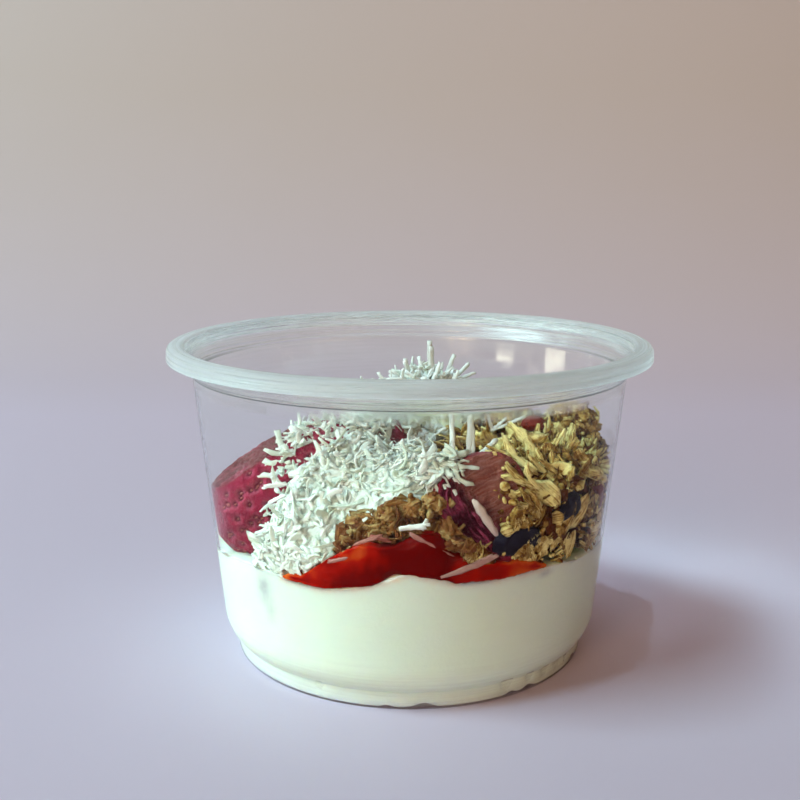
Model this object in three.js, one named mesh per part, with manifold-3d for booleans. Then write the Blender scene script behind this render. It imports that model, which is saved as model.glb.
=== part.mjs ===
// A yogurt bowl to go: a clear plastic tub with a rolled rim, two fifths full of thick yogurt, with fruit compote,
// strawberries, a banana slice, blueberries, granola and shredded coconut heaped on top.
// Millimetres, +Z up. The origin is the centre of the tub's foot, on the surface the tub stands on.
import * as THREE from "three";
import { mergeVertices } from "three/addons/utils/BufferGeometryUtils.js";
import Module from "manifold-3d";

const wasm = await Module();
wasm.setup();

// ---------------------------------------------------------------- driving dimensions
const GAP = 0.3; // air left between one piece and the next
const TUB_FACETS = 36; // round the tub
const FILLING_FACETS = 32; // round what fills it

// The tub, a thermoformed 16 oz deli container.
const RIM_RADIUS = 58.5;
const TUB_HEIGHT = 76.2;
const WALL = 0.65; // sheet thickness of the side and the floor
const RIM_SHEET = 0.85; // the sheet is thicker where the rim is rolled
const RIM_DROP = 3.5; // height of the skirt that hangs from the rim
const MOUTH_RADIUS = 53.9; // inside the rim, at its top
const LEDGE_LOW = [52.6, 69.2]; // outer radius and height where the side flares into the rim
const LEDGE_HIGH = [54.3, 72.0];
const SIDE_LOW = [46.64, 10.0]; // outer radius and height where the side meets the bottom bend
const BEND_RADIUS = 9.0;
const BEND_STEPS = 3;
const FOOT_RADIUS = 43.5;
const FOOT_HEIGHT = 4.0;
const FOOT_WIDTH = 3.1; // across the hollow ring that the tub stands on
const FLOOR_UNDERSIDE = 1.9; // the floor is raised inside the foot

// The yogurt: its level at the wall, with a swell and dips, each [degrees round, width in degrees, height].
const YOGURT_LEVEL = 30.3;
const YOGURT_SWELLS = [
  [-90, 9, 3.0],
  [-60, 14, 1.4],
  [-117, 14, -1.4],
  [-163, 16, -2.6],
  [70, 40, -0.8],
];

// ---------------------------------------------------------------- solids from three.js geometries
// A geometry as a manifold solid: its shared vertices are merged, and only positions are kept.
function solid(geometry) {
  const bare = new THREE.BufferGeometry();
  bare.setAttribute("position", geometry.getAttribute("position"));
  bare.setIndex(geometry.index);
  const merged = mergeVertices(bare, 1e-4);
  return new wasm.Manifold(
    new wasm.Mesh({
      numProp: 3,
      vertProperties: new Float32Array(merged.attributes.position.array),
      triVerts: new Uint32Array(merged.index.array),
    }),
  );
}

// A solid's largest body as a geometry: a cut may leave crumbs.
function geometryOf(made) {
  const bodies = made.decompose().sort((a, b) => b.volume() - a.volume());
  const mesh = bodies[0].getMesh();
  const geometry = new THREE.BufferGeometry();
  geometry.setAttribute("position", new THREE.BufferAttribute(mesh.vertProperties, 3));
  geometry.setIndex(new THREE.BufferAttribute(mesh.triVerts, 1));
  return geometry;
}

// A body turned about +Z from [radius, height] points, which run from the axis underneath to the axis on top.
function turned(points, facets) {
  const profile = points.map(([r, z]) => new THREE.Vector2(r, z));
  const geometry = new THREE.LatheGeometry(profile, facets);
  geometry.rotateX(Math.PI / 2);
  return geometry;
}

// Moves every vertex of a geometry by a function of its place.
function reshaped(geometry, move) {
  const places = geometry.getAttribute("position");
  const point = new THREE.Vector3();
  for (let i = 0; i < places.count; i++) {
    point.fromBufferAttribute(places, i);
    move(point);
    places.setXYZ(i, point.x, point.y, point.z);
  }
  return geometry;
}

// The same geometry with its skin pushed out by a distance, to cut room for it in a neighbour.
function grown(geometry, distance) {
  const bare = new THREE.BufferGeometry();
  bare.setAttribute("position", geometry.getAttribute("position").clone());
  bare.setIndex(geometry.index.clone());
  const merged = mergeVertices(bare, 1e-4);
  merged.computeVertexNormals();
  const places = merged.getAttribute("position");
  const normals = merged.getAttribute("normal");
  for (let i = 0; i < places.count; i++) {
    places.setXYZ(
      i,
      places.getX(i) + distance * normals.getX(i),
      places.getY(i) + distance * normals.getY(i),
      places.getZ(i) + distance * normals.getZ(i),
    );
  }
  return solid(merged);
}

// A soft hump: 1 at zero, falling to nothing over about two widths.
function hump(distance, width) {
  return Math.exp(-((distance / width) ** 2));
}

// ---------------------------------------------------------------- the tub
// Points on the bend between the foot and the side, for a sheet face this far inside the outer one.
function bendPoints(inset, steps) {
  const taper = Math.atan2(LEDGE_LOW[0] - SIDE_LOW[0], LEDGE_LOW[1] - SIDE_LOW[1]);
  const centreRadius = SIDE_LOW[0] - BEND_RADIUS * Math.cos(taper);
  const centreHeight = SIDE_LOW[1] + BEND_RADIUS * Math.sin(taper);
  const radius = BEND_RADIUS - inset;
  const lowest = Math.asin((centreHeight - FOOT_HEIGHT) / BEND_RADIUS);
  const points = [];
  for (let i = 0; i <= steps; i++) {
    const angle = lowest + ((taper - lowest) * i) / steps;
    points.push([centreRadius + radius * Math.cos(angle), centreHeight - radius * Math.sin(angle)]);
  }
  return points;
}

// The sheet's outer face, from the axis under the floor to the free edge of the rim's skirt.
function tubOutside() {
  const skirtFoot = TUB_HEIGHT - RIM_DROP;
  const skirtInside = RIM_RADIUS - RIM_SHEET;
  return [
    [0, FLOOR_UNDERSIDE],
    [FOOT_RADIUS - FOOT_WIDTH - 0.4, FLOOR_UNDERSIDE],
    [FOOT_RADIUS - FOOT_WIDTH, 0.4],
    [FOOT_RADIUS - FOOT_WIDTH + 0.4, 0],
    [FOOT_RADIUS - 0.6, 0],
    [FOOT_RADIUS - 0.1, 0.5],
    ...bendPoints(0, BEND_STEPS),
    LEDGE_LOW,
    LEDGE_HIGH,
    [MOUTH_RADIUS + RIM_SHEET, TUB_HEIGHT - RIM_SHEET - 0.5],
    [MOUTH_RADIUS + RIM_SHEET + 0.6, TUB_HEIGHT - RIM_SHEET],
    [skirtInside - 0.7, TUB_HEIGHT - RIM_SHEET],
    [skirtInside - 0.1, TUB_HEIGHT - RIM_SHEET - 0.6],
    [skirtInside, skirtFoot],
  ];
}

// The sheet's inner face, from the skirt's free edge over the rim and down to the axis on the floor.
function tubInside() {
  return [
    [RIM_RADIUS, TUB_HEIGHT - RIM_DROP],
    [RIM_RADIUS - 0.1, TUB_HEIGHT - 1.2],
    [RIM_RADIUS - 0.5, TUB_HEIGHT - 0.4],
    [RIM_RADIUS - 1.4, TUB_HEIGHT],
    [MOUTH_RADIUS + 1.3, TUB_HEIGHT],
    [MOUTH_RADIUS + 0.3, TUB_HEIGHT - 0.4],
    [MOUTH_RADIUS, TUB_HEIGHT - 1.3],
    [LEDGE_HIGH[0] - WALL, LEDGE_HIGH[1] + 0.1],
    ...cavityPoints(0),
  ];
}

// The tub's inner face below its ledge, for a filling that keeps this far off it: from the ledge to the axis.
function cavityPoints(clearance) {
  const off = WALL + clearance;
  const channelOutside = FOOT_RADIUS - 0.1 - off;
  const channelInside = FOOT_RADIUS - FOOT_WIDTH + off;
  return [
    [LEDGE_LOW[0] - off, LEDGE_LOW[1]],
    ...bendPoints(off, BEND_STEPS).reverse(),
    [channelOutside, off + 0.2],
    [channelOutside - 0.3, off],
    [channelInside + 0.2, off],
    [channelInside - 0.4, FLOOR_UNDERSIDE + off],
    [0, FLOOR_UNDERSIDE + off],
  ];
}

function tub() {
  return turned([...tubOutside(), ...tubInside()], TUB_FACETS);
}

// The room inside the tub up to its mouth, a gap inside the wall: every filling is trimmed to it.
function cavity() {
  const wallTop = [MOUTH_RADIUS - GAP - 0.2, TUB_HEIGHT - 1];
  const flare = [LEDGE_HIGH[0] - WALL - GAP, LEDGE_HIGH[1]];
  const profile = [...cavityPoints(GAP).reverse(), flare, wallTop, [0, TUB_HEIGHT - 1]];
  return solid(turned(profile, FILLING_FACETS));
}

// ---------------------------------------------------------------- the yogurt
// The yogurt's surface: a level that swells and dips towards the wall, with a faint ripple over it.
function yogurtTop(x, y) {
  const around = THREE.MathUtils.radToDeg(Math.atan2(y, x));
  const outward = Math.min(1, Math.hypot(x, y) / 46) ** 2;
  let height = YOGURT_LEVEL + 0.35 * Math.sin(x / 6.5 + 1.2) * Math.cos(y / 7.5);
  for (const [angle, width, rise] of YOGURT_SWELLS) {
    const apart = Math.abs(((around - angle + 540) % 360) - 180);
    height += outward * rise * hump(apart, width);
  }
  return height;
}

// The yogurt, or the room that it takes when its surface is lifted by a clearance.
function yogurtBody(lift) {
  const surfaceRings = [51, 45, 35, 20, 0];
  const inside = cavityPoints(GAP - lift).reverse();
  const below = inside.filter(([, z]) => z < 20);
  const geometry = turned([...below, ...surfaceRings.map((r) => [r, YOGURT_LEVEL])], FILLING_FACETS);
  return reshaped(geometry, (p) => {
    if (p.z > 20) {
      p.z = yogurtTop(p.x, p.y) + lift;
    }
  });
}

// ---------------------------------------------------------------- fruit
// A frame whose X axis points along a direction and whose Z axis leans as near as it can to another.
function placement(origin, along, upward) {
  const x = new THREE.Vector3(...along).normalize();
  const y = new THREE.Vector3(...upward).cross(x).normalize();
  const z = new THREE.Vector3().crossVectors(x, y);
  return new THREE.Matrix4().makeBasis(x, y, z).setPosition(...origin);
}

// A strawberry, round at its stem end and tapering to a blunt tip, along +X from the stem end at the origin.
// Its lower part is a shallow keel, and where cut is given a knife has taken all that is above that height.
function strawberry(length, radius, cut, facets = 16) {
  const rings = 9;
  const profile = [];
  for (let i = 0; i <= rings; i++) {
    const t = i / rings;
    const swell = Math.sin(Math.PI * t ** 0.62) ** 0.78;
    profile.push([i === 0 || i === rings ? 0 : radius * swell, t * length]);
  }
  const geometry = turned(profile, facets);
  geometry.rotateY(Math.PI / 2);
  return reshaped(geometry, (p) => {
    const round = Math.atan2(p.z, p.y);
    const unevenness = 1 + 0.035 * Math.sin(2 * round + 0.7) + 0.03 * Math.sin(3 * round + p.x / 9);
    p.y *= unevenness;
    p.z *= unevenness;
    p.z = Math.min(p.z, cut + 0.012 * p.z);
  });
}

// A berry as a lumpy ball with three radii.
function berry(radii, facets = 14) {
  const rings = 7;
  const profile = [];
  for (let i = 0; i <= rings; i++) {
    const angle = (Math.PI * i) / rings;
    profile.push([i === 0 || i === rings ? 0 : Math.sin(angle), -Math.cos(angle)]);
  }
  return reshaped(turned(profile, facets), (p) => {
    const lump = 1 + 0.05 * Math.sin(3 * p.x + 2 * p.z) + 0.04 * Math.cos(4 * p.y - p.x);
    p.set(p.x * radii[0] * lump, p.y * radii[1] * lump, p.z * radii[2] * lump);
  });
}

// A slice of banana: a disc a little three-sided, as a banana is, with the skin side rounded.
function bananaSlice(radius, thickness) {
  const half = thickness / 2;
  const profile = [
    [0, -half],
    [0.92 * radius, -half],
    [radius, -half + 1.2],
    [1.01 * radius, 0],
    [radius, half - 1.2],
    [0.92 * radius, half],
    [0, half + 0.3],
  ];
  return reshaped(turned(profile, 24), (p) => {
    const round = Math.atan2(p.y, p.x);
    const outline = 1 + 0.028 * Math.cos(3 * round) + 0.035 * Math.cos(2 * round + 0.6);
    p.x *= outline;
    p.y *= outline;
  });
}

// ---------------------------------------------------------------- heaps
// A heap over an outline of [x, y] points: rings run in from the outline to a centre, lifted to a height function.
// With a clearance it is the room that the heap takes, to cut from a neighbour: its top rises and its side moves out.
function heap({ outline, centre, topHeight, rings, facets }, clearance = 0) {
  const corners = outline.map(([x, y]) => new THREE.Vector3(x, y, 0));
  const edge = new THREE.CatmullRomCurve3(corners, true, "centripetal");
  const profile = [
    [0, -1],
    [0.98, -1],
  ];
  for (let i = 0; i <= rings; i++) {
    profile.push([i === rings ? 0 : 1 - i / rings, 0]);
  }
  const under = YOGURT_LEVEL - 6 - clearance;
  const spot = new THREE.Vector3();
  return reshaped(turned(profile, facets), (p) => {
    const share = Math.hypot(p.x, p.y);
    const around = (Math.atan2(p.y, p.x) / (2 * Math.PI) + 1) % 1;
    edge.getPoint(around > 0.9999 ? 0 : around, spot);
    const reach = Math.hypot(spot.x - centre[0], spot.y - centre[1]);
    const x = centre[0] + (spot.x - centre[0]) * share;
    const y = centre[1] + (spot.y - centre[1]) * share;
    const outward = share > 0.9 ? (1.5 * clearance) / reach : 0;
    const z = p.z < -0.5 ? under : topHeight(x, y, share) + 2 * clearance;
    p.set(x + (spot.x - centre[0]) * outward, y + (spot.y - centre[1]) * outward, z);
  });
}

// The compote: a crescent of jammy fruit against the front of the tub, thick in three places.
const COMPOTE_OUTLINE = [
  [32, -42],
  [25, -34],
  [14, -34],
  [2, -33],
  [-12, -34],
  [-24, -36],
  [-31, -45],
  [-18, -60],
  [0, -66],
  [20, -62],
];
// Each lobe is [x, y, width, height over the yogurt].
const COMPOTE_LOBES = [
  [-12, -46, 9, 9],
  [4.5, -47, 6, 8.5],
  [19, -42, 9, 2.6],
];

function compoteTop(x, y, share) {
  let depth = 0.9;
  for (const [lobeX, lobeY, width, height] of COMPOTE_LOBES) {
    depth += height * hump(Math.hypot(x - lobeX, y - lobeY), width);
  }
  return yogurtTop(x, y) + GAP + depth * (1 - 0.85 * share ** 4);
}

// The granola: lumps and flakes over the right half, under the coconut, and down to the yogurt at the back.
const GRANOLA_OUTLINE = [
  [58, 2],
  [48, 26],
  [30, 42],
  [8, 47],
  [-14, 38],
  [-22, 20],
  [-20, -2],
  [-22, -24],
  [-20, -48],
  [4, -56],
  [32, -50],
  [52, -28],
];
// Each mound is [x, y, width, height].
const GRANOLA_MOUNDS = [
  [31, -24, 13, 14],
  [45, 3, 8, 14],
  [29, 3, 12, 11],
  [10, 14, 18, 8],
  [2, -36, 10, 5],
  [18, -46, 7, -7],
];

function granolaTop(x, y, share) {
  let height = 43 - 0.12 * Math.max(0, y);
  for (const [moundX, moundY, width, rise] of GRANOLA_MOUNDS) {
    height += rise * hump(Math.hypot(x - moundX, y - moundY), width);
  }
  height += 0.9 * Math.sin(x / 2.3 + 1.7) * Math.sin(y / 2.7) + 0.5 * Math.cos((x + y) / 1.9);
  const rim = YOGURT_LEVEL - 3;
  return rim + (height - rim) * (1 - 0.9 * share ** 9);
}

// The coconut: a drift of shreds from the front left wall up over the middle to a tuft behind the banana.
const COCONUT_OUTLINE = [
  [26, 6],
  [22, 24],
  [5, 33],
  [-12, 29],
  [-23, 12],
  [-29, -8],
  [-34, -22],
  [-34, -40],
  [-24, -56],
  [-6, -58],
  [9, -54],
  [14, -38],
  [17, -20],
  [21, -6],
];
const COCONUT_PEAK = [4, 20, 59];
const COCONUT_MOUNDS = [
  [4, 21, 11, 10],
  [8, -4, 9, -13],
  [-11, 1, 10, 11],
  [-14, -20, 14, 12],
  [-27, -29, 10, 9],
  [1, -37, 12, 11],
];

function coconutTop(x, y, share) {
  const [peakX, peakY, peakHeight] = COCONUT_PEAK;
  let height = peakHeight - 0.42 * Math.hypot(x - peakX, 0.9 * (y - peakY));
  for (const [moundX, moundY, width, rise] of COCONUT_MOUNDS) {
    height += rise * hump(Math.hypot(x - moundX, y - moundY), width);
  }
  height += 0.8 * Math.sin(x / 2.1) * Math.cos(y / 2.4 + 0.5) + 0.5 * Math.sin((x - y) / 1.8);
  const rim = YOGURT_LEVEL - 2;
  return rim + (height - rim) * (1 - 0.75 * share ** 8);
}

// The heaps in the order in which they go into the tub.
const HEAPS = {
  compote: { outline: COMPOTE_OUTLINE, centre: [4, -44], topHeight: compoteTop, rings: 5, facets: 28 },
  granola: { outline: GRANOLA_OUTLINE, centre: [18, -3], topHeight: granolaTop, rings: 6, facets: 26 },
  coconut: { outline: COCONUT_OUTLINE, centre: [-5, -10], topHeight: coconutTop, rings: 7, facets: 28 },
};

// ---------------------------------------------------------------- the pieces in their places
// Each fruit: its geometry already stands where it lies in the bowl.
function fruitPieces() {
  const left = strawberry(46, 16.5, 11);
  left.applyMatrix4(placement([-45.5, -11, 31], [0.84, 0, 0.54], [-0.54, 0, 0.84]));
  const middle = strawberry(22, 9, 3);
  middle.applyMatrix4(placement([-9, -5, 36], [0.25, -0.05, 0.95], [-0.5, 0.8, 0.3]));
  const front = strawberry(25, 9.5, 2.5);
  front.applyMatrix4(placement([11, -40, 56.5], [0.4, -0.06, -0.9], [0.3, -0.94, 0.15]));
  const banana = bananaSlice(13.8, 8);
  banana.applyMatrix4(placement([3.5, 9.5, 46.8], [1, 0.08, 0.05], [0.1, -0.93, 0.36]));
  const blueberryRight = berry([6.4, 6.3, 5.9]);
  blueberryRight.applyMatrix4(placement([31.4, -30.2, 43.2], [1, 0.6, 0.3], [-0.3, 0.1, 1]));
  const blueberryFront = berry([6.6, 4.2, 3.6]);
  blueberryFront.applyMatrix4(placement([20.8, -40.6, 38.6], [0.9, 0.4, 0.12], [-0.1, 0.1, 1]));
  const driedRight = berry([4.6, 2.6, 2.2], 12);
  driedRight.applyMatrix4(placement([42.6, -20.6, 42.6], [0.1, 0.2, 1], [1, -0.4, 0]));
  const driedTop = berry([4.4, 2.8, 2.3], 12);
  driedTop.applyMatrix4(placement([30.5, -4, 55.6], [1, 0.2, -0.1], [0, -0.4, 1]));
  return {
    strawberry_left: left,
    strawberry_middle: middle,
    strawberry_front: front,
    banana_slice: banana,
    blueberry_right: blueberryRight,
    blueberry_front: blueberryFront,
    dried_berry_right: driedRight,
    dried_berry_top: driedTop,
  };
}

// Colour, roughness and metalness of each piece.
const FINISH = {
  cup: [0xdfe8e6, 0.12],
  yogurt: [0xf4f2e6, 0.35],
  compote: [0x8e1210, 0.15],
  strawberry_left: [0x9c2333, 0.3],
  strawberry_middle: [0xa3222f, 0.3],
  strawberry_front: [0x9a4450, 0.3],
  banana_slice: [0xe6dcae, 0.4],
  blueberry_right: [0x1b1b33, 0.4],
  blueberry_front: [0x2a1730, 0.3],
  dried_berry_right: [0x7c1420, 0.35],
  dried_berry_top: [0x8a2a1c, 0.35],
  granola: [0xb98f4d, 0.7],
  coconut: [0xf7f7f0, 0.55],
};

function piece(name, geometry) {
  const [color, roughness] = FINISH[name];
  const material = new THREE.MeshStandardMaterial({ color, roughness, metalness: 0 });
  const mesh = new THREE.Mesh(geometry, material);
  mesh.name = name;
  return mesh;
}

function yogurtBowl() {
  const group = new THREE.Group();
  const room = cavity();
  group.add(piece("cup", tub()));

  // Fruit goes in first: each piece keeps its gap to the wall and to the fruit before it.
  const fruit = Object.entries(fruitPieces());
  const fruitRoom = fruit.map(([, geometry]) => grown(geometry, GAP));
  fruit.forEach(([name, geometry], i) => {
    let made = solid(geometry).intersect(room);
    fruitRoom.slice(0, i).forEach((taken) => {
      made = made.subtract(taken);
    });
    group.add(piece(name, geometryOf(made)));
  });

  // Each soft filling settles round all that went in before it.
  const taken = [...fruitRoom];
  const settle = (name, geometry, keepClear) => {
    let made = solid(geometry).intersect(room);
    taken.forEach((other) => {
      made = made.subtract(other);
    });
    group.add(piece(name, geometryOf(made)));
    taken.push(keepClear);
  };
  settle("yogurt", yogurtBody(0), solid(yogurtBody(GAP)));
  for (const [name, shape] of Object.entries(HEAPS)) {
    settle(name, heap(shape), solid(heap(shape, GAP)));
  }
  return group;
}

export default yogurtBowl();
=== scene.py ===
import math

import bmesh
import bpy
import numpy as np
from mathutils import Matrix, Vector, noise
from mathutils.bvhtree import BVHTree
from mathutils.kdtree import KDTree
from numpy.linalg import norm


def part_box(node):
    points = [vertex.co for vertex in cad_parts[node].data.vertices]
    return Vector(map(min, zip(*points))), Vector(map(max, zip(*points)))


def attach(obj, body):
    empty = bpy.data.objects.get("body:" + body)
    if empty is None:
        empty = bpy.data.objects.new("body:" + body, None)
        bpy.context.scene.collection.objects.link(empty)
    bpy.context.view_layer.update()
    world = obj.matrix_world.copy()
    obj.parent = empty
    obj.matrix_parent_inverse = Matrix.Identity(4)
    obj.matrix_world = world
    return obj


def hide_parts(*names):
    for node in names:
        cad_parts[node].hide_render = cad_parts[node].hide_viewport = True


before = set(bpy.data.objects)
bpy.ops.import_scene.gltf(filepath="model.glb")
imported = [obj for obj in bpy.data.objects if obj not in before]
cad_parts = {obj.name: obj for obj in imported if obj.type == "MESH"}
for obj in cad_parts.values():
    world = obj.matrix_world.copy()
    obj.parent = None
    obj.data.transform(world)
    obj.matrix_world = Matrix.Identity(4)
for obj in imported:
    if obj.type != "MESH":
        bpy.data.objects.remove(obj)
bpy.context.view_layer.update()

# ------------------------------------------------------------------ the tub
# A deli tub drawn from one sheet of clear polypropylene: a hollow foot ring, a soft bend, a tapered side, a
# small ledge and a rim rolled outward with a free skirt. The sheet is faintly cloudy and streaked by its
# drawing. Everything else lies in it. Sizes are in millimetres.
TUB_HEIGHT = 76.2
RIM_RADIUS = 58.5
RIM_DROP = 3.5
RIM_SHEET = 0.85
MOUTH_RADIUS = 53.9
WALL = 0.65
LEDGE_LOW = (52.6, 69.2)
LEDGE_HIGH = (54.3, 72.0)
SIDE_LOW = (46.64, 10.0)
BEND_RADIUS = 9.0
FOOT_RADIUS = 43.5
FOOT_HEIGHT = 4.0
FOOT_WIDTH = 3.1
FLOOR_UNDERSIDE = 1.9

# Heights of the rows of points between bend and ledge, and how far the side leans out as it rises.
SIDE_ROWS = (13, 18, 54, 58, 62, 66, 68.3)
SIDE_SLOPE = (LEDGE_LOW[0] - SIDE_LOW[0]) / (LEDGE_LOW[1] - SIDE_LOW[1])

# How cloudy the sheet is at each height: thick at the foot and rim, thin and clear along the side.
CLOUDINESS = [
    (0, 0.12), (4, 0.08), (13, 0.004), (54, 0.008), (68.3, 0.03),
    (69.5, 0.12), (72, 0.10), (73, 0.17), (75, 0.18), (76.2, 0.30),
]
CLEAR = (0.97, 0.985, 0.98, 1)
CLOUDED = (0.93, 0.94, 1.0, 1)
# How much the sheet bends light. Where the food wets it, it shows as little as if it were part of the food.
BARE_IOR = 1.49
WETTED_IOR = 1.08


def wall_radius(z):
    """The radius of the tub's inner face at a height on its tapered side."""
    return SIDE_LOW[0] - WALL + (z - SIDE_LOW[1]) * SIDE_SLOPE


def side_points(inset):
    """Points up the tapered side, this far inside the sheet's outer face."""
    return [(wall_radius(z) + WALL - inset, z) for z in SIDE_ROWS]


def bend_points(inset, steps=10):
    """Points on the bend between foot and side, this far inside the sheet's outer face."""
    taper = math.atan(SIDE_SLOPE)
    centre = (SIDE_LOW[0] - BEND_RADIUS * math.cos(taper), SIDE_LOW[1] + BEND_RADIUS * math.sin(taper))
    lowest = math.asin((centre[1] - FOOT_HEIGHT) / BEND_RADIUS)
    radius = BEND_RADIUS - inset
    angles = [lowest + (taper - lowest) * i / steps for i in range(steps + 1)]
    return [(centre[0] + radius * math.cos(a), centre[1] - radius * math.sin(a)) for a in angles]


def inner_points(clearance=0.0):
    """The sheet's inner face below the ledge, from the ledge down to the axis on the floor."""
    off = WALL + clearance
    channel = (FOOT_RADIUS - 0.1 - off, FOOT_RADIUS - FOOT_WIDTH + off)
    return [
        (LEDGE_LOW[0] - off, LEDGE_LOW[1]), *side_points(off)[::-1], *bend_points(off)[::-1],
        (channel[0], off + 0.2), (channel[0] - 0.3, off), (channel[1] + 0.2, off),
        (channel[1] - 0.4, FLOOR_UNDERSIDE + off), (0, FLOOR_UNDERSIDE + off),
    ]


def rounded(points, radius, steps=4):
    """The same outline with each corner cut back by a radius and bridged by a curve."""
    points = [np.array(p, float) for p in points]
    result = [points[0]]
    for before, corner, after in zip(points, points[1:], points[2:]):
        back, ahead = before - corner, after - corner
        start = corner + back * min(radius / norm(back), 0.45)
        end = corner + ahead * min(radius / norm(ahead), 0.45)
        for t in np.linspace(0, 1, steps + 1):
            result.append((1 - t) ** 2 * start + 2 * t * (1 - t) * corner + t**2 * end)
    return result + [points[-1]]


def between(rows):
    """Faces between closed rows of points, where a row may be one point over and over."""
    faces = []
    for low, high in zip(rows, rows[1:]):
        for i in range(len(low)):
            j = (i + 1) % len(low)
            faces.append(tuple(dict.fromkeys((low[i], low[j], high[j], high[i]))))
    return faces


def turned(profile, facets):
    """Points and faces of a body turned about +Z from (radius, height) points."""
    angles = np.arange(facets) * 2 * np.pi / facets
    points, rows = [], []
    for radius, height in profile:
        count = facets if radius else 1
        rows.append([len(points) + i % count for i in range(facets)])
        points += [(radius * math.cos(a), radius * math.sin(a), height) for a in angles[:count]]
    return np.array(points), between(rows)


def linked(name, data):
    """A new object in the scene."""
    new = bpy.data.objects.new(name, data)
    bpy.context.scene.collection.objects.link(new)
    return new


def made_mesh(name, points, faces, material, **tones):
    """A smooth mesh from millimetres. A tone holds numbers for the points or for even runs of them."""
    mesh = bpy.data.meshes.new(name)
    mesh.from_pydata((np.asarray(points) / 1000).tolist(), [], [tuple(f) for f in faces])
    mesh.polygons.foreach_set("use_smooth", [True] * len(mesh.polygons))
    for tone, values in tones.items():
        values = np.repeat(values, len(points) // len(values)).astype(np.float32)
        mesh.attributes.new(tone, "FLOAT", "POINT").data.foreach_set("value", values)
    mesh.materials.append(material)
    return linked(name, mesh)


def put_in(slot, node, *mesh, **tones):
    """Makes a mesh and puts it in the bowl, hiding the CAD node it replaces if there is one. Its slot is not
    used.
    """
    piece = made_mesh(*mesh, **tones)
    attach(piece, "root")
    if node:
        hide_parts(node)
    return piece


def maths(operation, turned_round=False):
    """The method for an operator, which adds the Math node that it stands for."""
    def method(self, other):
        first, second = (other, self) if turned_round else (self, other)
        return self.node("Math", {"operation": operation}, {0: first, 1: second})
    return method


class Socket:
    """An output of one node, to reckon with and to add more nodes to."""
    __add__ = __radd__ = maths("ADD")
    __sub__ = maths("SUBTRACT")
    __rsub__ = maths("SUBTRACT", True)
    __mul__ = __rmul__ = maths("MULTIPLY")
    __pow__ = maths("POWER")

    def __init__(self, tree, output):
        self.tree = tree
        self.output = output

    def node(self, kind, settings=None, inputs=None, result=0):
        """Adds a node: its settings first, then a value or a link for each of its sockets."""
        node = self.tree.nodes.new("ShaderNode" + kind)
        for name, value in (settings or {}).items():
            if name == "stops":
                while len(node.color_ramp.elements) < len(value):
                    node.color_ramp.elements.new(1)
                for element, (position, colour) in zip(node.color_ramp.elements, value):
                    element.position = position
                    element.color = (*colour, 1)
            else:
                setattr(node, name, value)
        for name, value in (inputs or {}).items():
            if isinstance(value, Socket):
                self.tree.links.new(value.output, node.inputs[name])
            else:
                node.inputs[name].default_value = value
        return Socket(self.tree, node.outputs[result]) if node.outputs else None


def made_material(name, look, *colours):
    """A material from its look, a function that builds a shader on the place in millimetres."""
    material = bpy.data.materials.new(name)
    material.use_nodes = True
    material.node_tree.nodes.clear()
    place = Socket(material.node_tree, None).node("TexCoord", result="Object")
    place = place.node("VectorMath", {"operation": "SCALE"}, {0: place, "Scale": 1000})
    place.node("OutputMaterial", {}, {"Surface": look(place, *colours)})
    return material


def tone(place, name):
    """The number that the piece's points carry under this name."""
    return place.node("Attribute", {"attribute_name": name}, result="Fac")


def parts(place, axes):
    """The place's numbers along some of its axes."""
    return [place.node("SeparateXYZ", {}, {"Vector": place}, axis) for axis in axes]


def grain(place, size, detail=3.0, roughness=0.6, stretch=(1, 1, 1)):
    """Cloudy noise from 0 to 1 whose lumps are about this many millimetres across."""
    squeezed = place.node("VectorMath", {"operation": "MULTIPLY"}, {0: place, 1: stretch})
    inputs = {"Vector": squeezed, "Scale": 1 / size, "Detail": detail, "Roughness": roughness}
    return place.node("TexNoise", {}, inputs, "Fac")


def grain_along(x, y, z=0.0, detail=4.0):
    """Cloudy noise on a place made of three numbers."""
    place = x.node("CombineXYZ", {}, {"X": x, "Y": y, "Z": z})
    return x.node("TexNoise", {}, {"Vector": place, "Scale": 1.0, "Detail": detail}, "Fac")


def shades(value, *stops):
    """A colour that runs through (value, colour) stops."""
    return value.node("ValToRGB", {"stops": stops}, {"Fac": value})


def rising(value, low, high):
    """0 up to the low value and 1 from the high one on."""
    return shades(value, (low, (0, 0, 0)), (high, (1, 1, 1)))


def blend(mask, colour, other):
    """One colour where the mask is 0 and the other where it is 1."""
    colours = [c if isinstance(c, Socket) else (*c, 1) for c in (colour, other)]
    return mask.node("Mix", {"data_type": "RGBA"}, {0: mask, 6: colours[0], 7: colours[1]}, 2)


def mixed(share, shader, other):
    """One shader where the share is 0 and the other where it is 1."""
    return shader.node("MixShader", {}, {0: share, 1: shader, 2: other})


def bumps(height, distance, strength=1.0):
    """A normal from a height that is worth this many millimetres."""
    return height.node("Bump", {}, {"Height": height, "Distance": distance / 1000, "Strength": strength})


def bell(value, width):
    """1 at zero, fading out over a width."""
    return np.exp(-((value / width) ** 2))


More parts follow.
